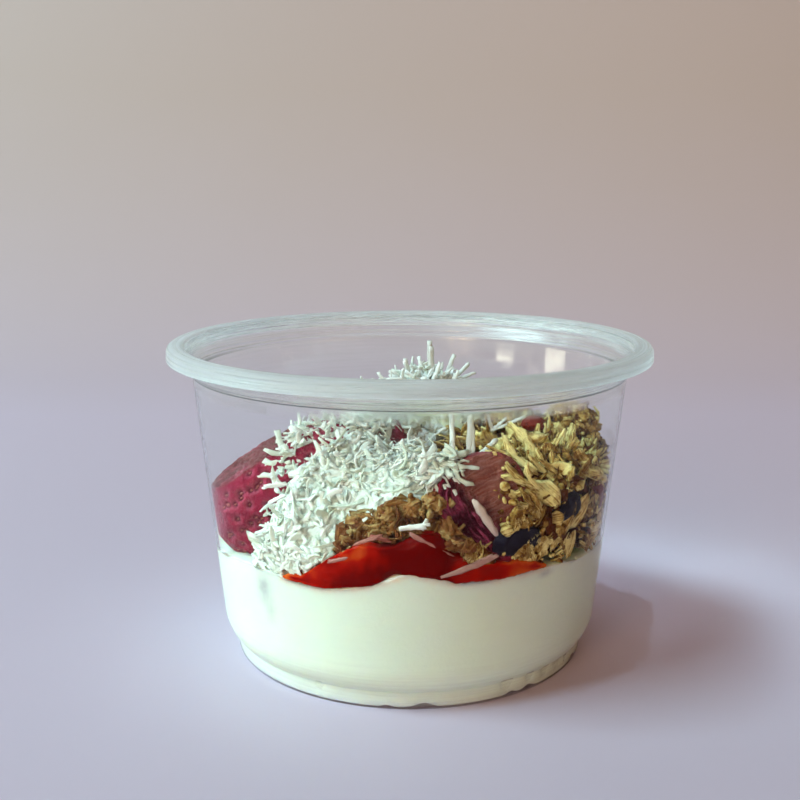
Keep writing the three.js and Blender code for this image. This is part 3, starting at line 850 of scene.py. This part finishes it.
def strips(roots, ahead, up, sizes, bends, stations=5, blunt=0.85, ragged=0.2):
    """Joined flat strips. sizes holds each one's length, width and thickness, and bends how far it curls off
    its flat side, sways along it and rolls about itself over its length, in radians."""
    phase = roots @ (2.1, 3.3, 4.7)
    length, width, thick = sizes.T[:, :, None]
    curl, sway, roll = bends.T[:, :, None] / (stations - 1)
    ahead = unit(ahead)
    up = unit(up - (up * ahead).sum(1, keepdims=True) * ahead)
    place = roots
    rings = []
    for i in range(stations):
        side = np.cross(ahead, up)
        taper = blunt + (1 - blunt) * math.sin(math.pi * i / (stations - 1)) ** 0.5
        taper = taper * (1 + ragged * np.sin(2.6 * i + phase))[:, None]
        rings += [place + side * width * taper * a + up * thick * taper * b for a, b in SECTION]
        place = place + ahead * length / (stations - 1)
        ahead, up = swung(ahead, up, curl)
        ahead, side = swung(ahead, side, sway)
        up = swung(up, side, roll)[0]
    points = np.stack(rings, 1)
    count, each = points.shape[:2]
    rows = np.arange(each).reshape(-1, len(SECTION)).tolist()
    faces = between(rows) + [rows[0][::-1], rows[-1]]
    return points.reshape(-1, 3), repeated(faces, range(0, count * each, each))


def spans(things, *ranges):
    """An even random number in each range for each thing."""
    return np.column_stack([rng.uniform(low, high, len(things)) for low, high in ranges])


def relief_core(node, shrink, depth, size, seed):
    """A heap's inside: its CAD solid worn round and shrunk under the loose pieces, with a rough skin."""
    points, faces, outward = softened(node, 0.9, 3)
    rough = cloud(points, size, seed, 4)
    return inside_tub(points + outward * (depth * rough - shrink)[:, None]), faces, rough


def lump(level, roughness, *grit):
    """A rough ball."""
    points, faces = ball(level)
    return points * (1 + roughness * cloud(points, *grit))[:, None], faces


def oat_flake():
    """A rolled oat flake: a pointed oval with a ragged edge, dished, and creased along its middle."""
    shares = (0, 0.25, 0.5, 0.75, 1, 0.75, 0.5, 0.25, 0)
    sides = (1,) * 5 + (-1,) * 4
    profile = [(s, side * 0.1 * min(1, math.sqrt(1.02 - s**2))) for s, side in zip(shares, sides)]
    points, faces = turned(profile, 16)
    x, y, z = points.T
    turn = np.arctan2(y, x)
    edge = 1 + 0.07 * np.cos(3 * turn + rng.random() * 6) + 0.05 * np.cos(7 * turn + rng.random() * 6)
    x *= edge
    y *= edge * np.abs(np.sin(turn)) ** 0.35
    z += 0.24 * x**2 + (rng.random() * 0.5 - 0.1) * y**2 - 0.12 * bell(y, 0.14) * (x**2 < 0.7)
    z += 0.9 * np.maximum(0, y - 0.35) ** 1.5 + 0.12 * cloud(points, 0.6, rng.integers(99))
    return points, [(first, *rest[::-1]) for first, *rest in faces]


def oat_look(place):
    mottle = grain(place, 1.3, 4)
    x, y, z = parts(place, "XYZ")
    west, south = (side.node("Clamp", {}, {"Value": side}) for side in ((15 - x) * 0.3, (-20 - y) * 0.2))
    soaked = west * south
    streaks = grain_along(x * 0.3 + tone(place, "across") * 7.0, y * 0.3, z * 0.3, 3.0)
    # Toast runs from pale to dark; on the core the dark end stands in as painted shade.
    browning_and_shade = tone(place, "toast") + 0.05 + (mottle - 0.5) * 1.1 + (streaks - 0.5) * 1.7 + soaked * 0.1
    colour = shades(browning_and_shade, (0.12, PALE_OAT), (0.5, TOASTED_OAT), (0.9, DARK_OAT))
    colour = blend(soaked * 0.65, colour, blend(mottle, (0.035, 0.010, 0.006), (0.40, 0.14, 0.060)))
    relief = bumps(grain(place, 0.35, 3, stretch=(1, 0.4, 1)) * 0.4 + mottle * 0.4 + streaks * 0.8, 0.4, 0.9)
    return opaque(colour, mottle * 0.3 + 0.5, relief, 0.05, seeping=0.06, reach=(1.5, 0.9, 0.4))


oats = made_material("toasted_oats", oat_look)
rng = np.random.default_rng(21)

# The core shows in the gaps between the loose pieces, and its dark toast there is painted shade.
points, faces, rough = relief_core("granola", 2.6, 1.2, 2.6, 12)
put_in("granola", "granola", "granola_core", points, faces, oats, toast=1.0 - 0.3 * rough)

spots, outward = exposed_spots("granola", NUGGETS)
sizes = rng.uniform(1.2, 2.8, (NUGGETS, 1)) * rng.uniform(0.7, 1.2, (NUGGETS, 3))
placed_spots, placed_sizes = zip(*PLACED_NUGGETS)
nugget_spots = np.vstack((spots - outward * 1.2, placed_spots))
nugget_sizes = np.vstack((sizes, placed_sizes))
axes = leaning(np.vstack((outward, np.tile((0, 0, 1), (len(placed_spots), 1)))), 0.3)
points, faces = joined(lump(4, 0.3, 0.35, 31, 4), nugget_spots, axes, nugget_sizes)
toast = rng.uniform(0.25, 0.7, len(axes))
put_in("granola", None, "granola_nuggets", inside_tub(points), faces, oats, toast=toast)

flake_spots, flake_sizes, flake_outward, flake_along = zip(*PLACED_FLAKES)


def stacked(*pairs):
    """Pairs of places and directions, set after set."""
    return [np.vstack(both) for both in zip(*pairs)]


def oat_places(count, in_pocket, on_nugget):
    """Places and outward directions for loose oats: over the whole heap, more in the pocket at the front, and
    some on every nugget. The flakes that lie against the wall are left bare."""
    heap = exposed_spots("granola", count)
    pocket = exposed_spots("granola", in_pocket, 0.8, lambda x, y, z: x < 16 and y < -34)
    spots, outward = stacked(heap, pocket)
    apart = norm(spots[:, None] - flake_spots[:FLAKES_ON_WALL], axis=2).min(1)
    kept = apart > BARE_AROUND_THEM
    out = unit(rng.normal(size=(len(nugget_spots) * on_nugget, 3)))
    stuck = nugget_spots.repeat(on_nugget, 0) + out * nugget_sizes.repeat(on_nugget, 0) * 0.9
    return stacked((spots[kept], outward[kept]), (stuck, out))


# Each bundle is a split oat groat or a torn flake: slivers side by side that fan out a little.
spots, outward = oat_places(SLIVER_BUNDLES, 14, 1)
total = len(spots)
axes = leaning(outward, 0.6)
standing = spots[:, 0] > 16
ahead = axes[:, :, 0] + outward * rng.uniform(-0.1, 1.1, (total, 1)) * (0.2 + 0.8 * standing)[:, None]
ahead[:, 2] += 0.6 * (spots[:, 2] > 47) * standing
sizes = spans(spots, (3.0, 6.6), (0.9, 1.7), (0.5, 0.9))
bends = jitter(spots) * (0.5, 0.2, 0.4)
toast = rng.beta(1.0, 1.6, total)
each = np.arange(total).repeat(SLIVERS_EACH)
row = np.tile(np.arange(SLIVERS_EACH) - (SLIVERS_EACH - 1) / 2, total)[:, None]
total = len(each)
axes, ahead, sizes = axes[each], ahead[each], sizes[each]
roots = (spots - outward * 1.3)[each] + axes[:, :, 1] * row * sizes[:, 1:2] * 0.75
roots += 0.3 * jitter(each) + 0.7 * ahead * rng.normal(size=(total, 1))
ahead = ahead + axes[:, :, 1] * row * 0.12 + 0.08 * jitter(each)
sizes = sizes * rng.uniform(0.5, 1.2, (total, 3))
bends = bends[each] + jitter(each) * 0.15
toast = toast[each] + 0.15 * rng.normal(size=total)
for foot, tip, width, count, browning in PLACED_SPLINTERS:
    run = np.subtract(tip, foot)
    fan = rng.normal(size=(count, 3))
    lengths = norm(run) * rng.uniform(0.75, 1.1, count)
    roots = np.vstack((roots, foot + 0.6 * fan))
    ahead = np.vstack((ahead, run + 0.5 * fan))
    sizes = np.vstack((sizes, np.column_stack((lengths, np.full(count, width), np.full(count, 0.7)))))
    bends = np.vstack((bends, rng.normal(size=(count, 3)) * 0.45))
    toast = np.append(toast, browning + 0.15 * rng.normal(size=count))
flat = jitter(roots) * 0.4 + (-0.4, -1, 0.5)
flat[:total] = axes[:, :, 2]
points, faces = strips(roots, ahead, flat, sizes, bends, 7, 0.5, 0.35)
put_in("granola", None, "oat_slivers", inside_tub(points), faces, oats,
       toast=toast, across=np.resize([a for a, b in SECTION], len(points)))

spots, outward = oat_places(OAT_FLAKES, 70, 1)
axes = np.vstack((leaning(outward, 0.8), [placement(*pair) for pair in zip(flake_along, flake_outward)]))
sizes = np.vstack((spans(spots, (2.0, 4.4), (1.2, 2.6), (2.2, 3.6)), flake_sizes))
toast = np.append(rng.beta(1.4, 1.9, len(spots)), 0.2 + 0.15 * (np.arange(len(flake_spots)) % 3))
spots = np.vstack((spots + outward * 0.1, flake_spots))
points, faces, toasts, across = [], [], [], []
for i in range(FLAKE_SHAPES):
    shape = oat_flake()
    placed, their_faces = joined(shape, spots[i::FLAKE_SHAPES], axes[i::FLAKE_SHAPES], sizes[i::FLAKE_SHAPES])
    faces += repeated(their_faces, [len(points)])
    points += placed.tolist()
    toasts += toast[i::FLAKE_SHAPES].tolist()
    across += np.resize(shape[0][:, 1], len(placed)).tolist()
put_in("granola", None, "oat_flakes", inside_tub(np.array(points)), faces, oats, toast=toasts, across=across)

loose = oat_places(OAT_CRUMBS, 220, 16)
on_berry = exposed_spots("strawberry_front", 40, 0.5, lambda x, y, z: x > 17.5)
spots, outward = stacked(loose, on_berry)
total = len(spots)
sizes = rng.uniform(0.3, 0.8, (total, 1)) * rng.uniform(0.4, 1.6, (total, 3))
points, faces = joined(lump(2, 0.4, 0.5, 41), spots + outward * 0.2, leaning(outward, 2), sizes)
put_in("granola", None, "oat_crumbs", inside_tub(points), faces, oats, toast=rng.beta(1.5, 2, total))

# ------------------------------------------------------------------ the coconut
# Dried shredded coconut: flat white strips cut from the nut's flesh, short and curly in the drift, longer on
# top, with a tuft standing up behind the banana. Those by the compote have drawn up its juice.
COCONUT_BED = 1450
COCONUT_TOP = 720
COCONUT_ON_BERRY = 340
TUFT_SHREDS = 220
TUFT_FOOT = (5, 20, 61)
TRANSLUCENCE = 0.28

# Small drifts off the main heap: middle, half sizes and how many shreds.
DRIFTS = [
    ((-11, -10, 57), (7, 6, 2.5), 130), ((-4, -3, 56.5), (6, 5, 2.5), 70), ((19, 11, 55.5), (9, 6, 3), 110),
    ((-1, -14, 52), (5, 5, 3), 70), ((2, -31, 52), (6, 6, 4), 120), ((6.5, -41.5, 54.5), (5.5, 4, 4.5), 130),
]

# Single shreds, each from one end to the other: (x, y, z), (x, y, z), width.
LOOSE_SHREDS = [
    ((6, 20, 60), (6, 19, 73.2), 2), ((0.6, 20, 61), (-0.6, 18, 68), 1.7), ((0.4, 21, 61), (1, 22, 68), 1.5),
    ((9.4, 20, 61), (12, 19, 70), 1.8), ((11, 19, 61), (15.6, 17, 67), 1.4),
    ((12, 21, 61), (18, 20, 65), 1.6), ((-1.5, 20, 61), (-5.2, 18, 65), 1.5),
    ((9.8, -24, 52), (9.8, -20, 63.5), 2), ((13.6, -22, 51), (14.6, -18, 61.5), 2.1),
    ((15, -30, 54), (19.8, -26, 57.8), 1.7),
    ((20.4, -3, 53.5), (19, -1, 58.6), 1.3), ((20.6, -3, 53.8), (24.2, -2, 56.2), 1.2),
    ((20.6, -3, 53.8), (28.4, -2, 57), 1.2), ((-31.2, -39, 50), (-26.5, -41, 50.8), 1),
    ((-30.3, -39, 46), (-26.5, -41, 48.8), 1), ((-2.4, -49, 43.8), (3.6, -49, 44.6), 1.2),
    ((2.2, -49, 43.6), (3.4, -49, 45.8), 1.2),
]
JUICY_SHREDS = [
    ((12.6, -46.8, 49.2), (17.8, -46, 41.6), 2.4), ((-0.2, -49.5, 43), (8.6, -48.4, 36.9), 1.7),
    ((6.6, -48.6, 32.9), (18.9, -45.6, 36.4), 1.7), ((-12, -47, 39.4), (-6.5, -48, 42.4), 1),
    ((-8.5, -47.5, 41.6), (-4, -48, 40.4), 1.1), ((-17.5, -45.8, 35.4), (-12.5, -47.2, 37.2), 1.1),
]
JUICE_TAKEN_UP = (0.1, 0.8, 0.6, 0.85, 0.95, 0.75)
STRANDS_EACH = 3
STRAND_STATIONS = 8


def laid(shreds, curl, blunt=0.85):
    """Shreds from a list of (start, end, width), each of three strands grown together. Those by the wall are
    pressed into it like the compote beside them, each strand a little less than the one before."""
    starts, ends, widths = (np.array(column, float).repeat(STRANDS_EACH, 0) for column in zip(*shreds))
    starts += 0.14 * widths[:, None] * jitter(starts)
    ahead = ends - starts + 0.2 * jitter(starts)
    length = norm(ahead, axis=1) * rng.uniform(0.85, 1.05, len(starts))
    on_wall = (starts[:, 1] < -35)[:, None]
    up = np.where(on_wall, unit(starts * (1, 1, 0)), (-0.5, -0.6, 0.6)) + 0.2 * jitter(starts)
    sizes = np.column_stack((length, 0.7 * widths, 0.35 * widths))
    bends = jitter(shreds).repeat(STRANDS_EACH, 0) * (curl, 0.3 * curl, 0.6)
    points, faces = strips(starts, ahead, up, sizes, bends, STRAND_STATIONS, blunt)
    strand = np.arange(len(points)) // (STRAND_STATIONS * len(SECTION)) % STRANDS_EACH
    return inside_tub(points, -0.5 + 0.05 * strand), faces


def coconut_look(place, shade, white):
    mottle = grain(place, 1.5, 3)
    colour = blend(tone(place, "tone") + (mottle - 0.5) * 0.4, shade, white)
    relief = bumps(grain(place, 0.25, 2, stretch=(1, 1, 0.5)) * 0.6 + mottle * 0.4, 0.15, 0.4)
    glow = place.node("BsdfTranslucent", {}, {"Color": colour, "Normal": relief})
    return mixed(TRANSLUCENCE, opaque(colour, mottle * 0.25 + 0.4, relief, 0.15), glow)


coconut_white = made_material("coconut_flesh", coconut_look, (0.82, 0.88, 0.79), (0.98, 0.99, 0.98))
rng = np.random.default_rng(7)

points, faces, rough = relief_core("coconut", 0.3, 0.7, 1.6, 22)
put_in("coconut", "coconut", "coconut_core", points, faces, coconut_white, tone=0.5 + 0.5 * rough)


def over_the_berry(x, y, z):
    """Where coconut lies on the big strawberry: all but its left side and one bare patch."""
    return x > -30 + 0.25 * (y + 20) and z > 38 and y < -8 and math.dist((x, y, z), (-21.7, -19.7, 53)) > 3.2


main_heap = exposed_spots("coconut", COCONUT_BED + COCONUT_TOP)
on_berry = exposed_spots("strawberry_left", COCONUT_ON_BERRY, 0.5, over_the_berry)
spots, outward = stacked(main_heap, on_berry)
for centre, reach, count in DRIFTS:
    offset = unit(rng.normal(size=(count, 3))) * rng.random((count, 1)) ** 0.4
    spots = np.vstack((spots, centre + offset * reach))
    outward = np.vstack((outward, unit(offset * (0.5, 0.5, 1) + (0, 0, 0.8))))
total = len(spots)
axes = leaning(outward, 0.3)
on_top = rng.random(total) < 0.3
length = np.where(on_top, np.minimum(rng.gamma(6, 1.1, total), 8), rng.uniform(2.6, 6.8, total))
width = 0.8 + 0.9 * rng.random(total) ** 1.5
sizes = np.column_stack((length, width, width * rng.uniform(0.25, 0.4, total)))
rise = np.where(on_top, rng.uniform(-0.05, 0.25, total), rng.uniform(-0.15, 0.14, total))
ahead = axes[:, :, 0] + outward * rise[:, None]
bends = jitter(spots) * (1.2, 1.5, 0.9) - (0.7, 0, 0)
roots = spots - outward * np.where(on_top, -0.1, 0.3)[:, None] - ahead * (length * 0.4)[:, None]
points, faces = strips(roots, ahead, axes[:, :, 2], sizes, bends)
whiteness = rng.uniform(0.0, 1.1, total)
put_in("coconut", None, "coconut_shreds", inside_tub(points), faces, coconut_white, tone=whiteness)

foot = TUFT_FOOT + rng.normal(size=(TUFT_SHREDS, 3)) * (4.2, 3.0, 1.3)
ahead = unit((foot - TUFT_FOOT) * (0.16, 0.14, 0) + jitter(foot) * 0.4 + (0, 0, 0.45))
sizes = spans(foot, (3.5, 7.5), (0.9, 1.7), (0.4, 0.7))
bends = jitter(foot) * (1.2, 0.8, 0.8)
face_up = jitter(foot) * 0.5 + (-0.5, -0.6, 0.6)
points, faces = strips(foot - ahead * 2, ahead, face_up, sizes, bends, STRAND_STATIONS)
loose_points, loose_faces = laid(LOOSE_SHREDS, 0.25)
faces += repeated(loose_faces, [len(points)])
points = np.vstack((inside_tub(points), loose_points))
put_in("coconut", None, "coconut_tuft", points, faces, coconut_white, tone=[1])

pink = made_material("juicy_coconut", coconut_look, (0.46, 0.13, 0.10), (0.84, 0.72, 0.68))
points, faces = laid(JUICY_SHREDS, 0.3, 0.4)
put_in("coconut", None, "juicy_shreds", points, faces, pink, tone=np.subtract(1, JUICE_TAKEN_UP))

# ------------------------------------------------------------------ floor, light and camera
# A pale sweep of card that curves up behind the tub, a wide cool window to the left with smaller panes round
# to the front, a lamp over the heaps and one on the card. The camera stands close, a little above the rim.
CARD = (0.73, 0.61, 0.81)
# Further back and up the sweep, the card is painted darker and warmer: painted shade and warm light.
CARD_ABOVE_PAINTED_SHADE = (0.62, 0.49, 0.49)
CARD_NEAR = -1200
CARD_BEND_FROM = 350
CARD_BEND = 500
CARD_TOP = (860, 2400)
CARD_SIDE = 2500
AIM = (0, 0, 0.04)
AIR = (1.0, 0.46, 0.14, 1)
AIR_STRENGTH = 0.115
CAMERA_PLACE = (-0.002292, -0.258469, 0.113919)
CAMERA_TILT = 0.203
CAMERA_LENS = 47.9

# Lit panes: place, power, colour, width and height.
PANES = {
    "window": ((-1.24, -0.34, 1.26), 26.6, (0.61, 0.95, 0.95), 1.0, 0.5),
    "near_pane": ((-0.85, -1.45, 0.5), 6.2, (1.0, 0.80, 0.52), 0.45, 0.5),
    "far_room": ((0.9, -0.9, 0.35), 0.9, (1.0, 0.62, 0.25), 0.8, 0.5),
    "low_pane": ((-1.25, -0.72, 0.10), 0.65, (1.0, 0.96, 0.74), 0.27, 0.06),
    "lower_pane": ((-1.25, 0.14, 0.06), 0.75, (1.0, 0.96, 0.74), 0.35, 0.07),
}

# Lamps: place, aim, power, colour, width of the cone in degrees, softness of its edge and of its shadows.
LAMPS = {
    "lamp_above": ((-0.35, -0.25, 1.2), (-0.002, 0.006, 0.06), 26.0, (0.60, 0.88, 1.0), 4.6, 0.8, 0.03),
    "wall_wash": ((0.6, -0.1, 1.3), (0.22, 0.75, 0.15), 15.0, (1.0, 0.87, 0.66), 66, 1.0, 0.3),
}


def card_look(place):
    fibre = grain(place, 0.8, 3)
    height, = parts(place, "Y")
    # Painted shade: the card grows darker and warmer towards the back and up the sweep.
    above = height * (1 / CARD_BEND) - 0.5 + (grain(place, 160.0, 2) - 0.5) * 0.1
    colour = blend(above.node("Clamp", {}, {"Value": above}), CARD, CARD_ABOVE_PAINTED_SHADE)
    return opaque(colour, fibre * 0.1 + 0.55, bumps(fibre, 0.05, 0.3))


def hung(name, kind, place, aim, **settings):
    data = bpy.data.lights.new(name, kind)
    for setting, value in settings.items():
        setattr(data, setting, value)
    lamp = linked(name, data)
    lamp.location = place
    lamp.rotation_euler = (Vector(aim) - Vector(place)).to_track_quat("-Z", "Y").to_euler()


bend = [(math.sin(a), 1 - math.cos(a)) for a in np.linspace(0, 1.5, 40)]
profile = [(CARD_NEAR, 0), *((CARD_BEND_FROM + CARD_BEND * y, CARD_BEND * z) for y, z in bend), CARD_TOP]
points = [(x, y, z) for y, z in profile for x in (-CARD_SIDE, CARD_SIDE)]
faces = [(i, i + 1, i + 3, i + 2) for i in range(0, len(points) - 2, 2)]
made_mesh("card_sweep", points, faces, made_material("pale_card", card_look))

for name, (place, power, colour, width, height) in PANES.items():
    hung(name, "AREA", place, AIM, energy=power, color=colour, shape="RECTANGLE", size=width, size_y=height)
for name, (place, aim, power, colour, cone, edge, size) in LAMPS.items():
    hung(name, "SPOT", place, aim, energy=power, color=colour, spot_size=math.radians(cone), spot_blend=edge,
         shadow_soft_size=size)

world = bpy.data.worlds.new("room_air")
world.use_nodes = True
air = world.node_tree.nodes["Background"].inputs
air["Color"].default_value = AIR
air["Strength"].default_value = AIR_STRENGTH
bpy.context.scene.world = world
bpy.context.scene.view_settings.view_transform = "Standard"

camera_data = bpy.data.cameras.new("camera")
camera_data.lens = CAMERA_LENS
camera = linked("camera", camera_data)
camera.location = CAMERA_PLACE
camera.rotation_euler = (math.pi / 2 - CAMERA_TILT, 0, 0)
bpy.context.scene.camera = camera
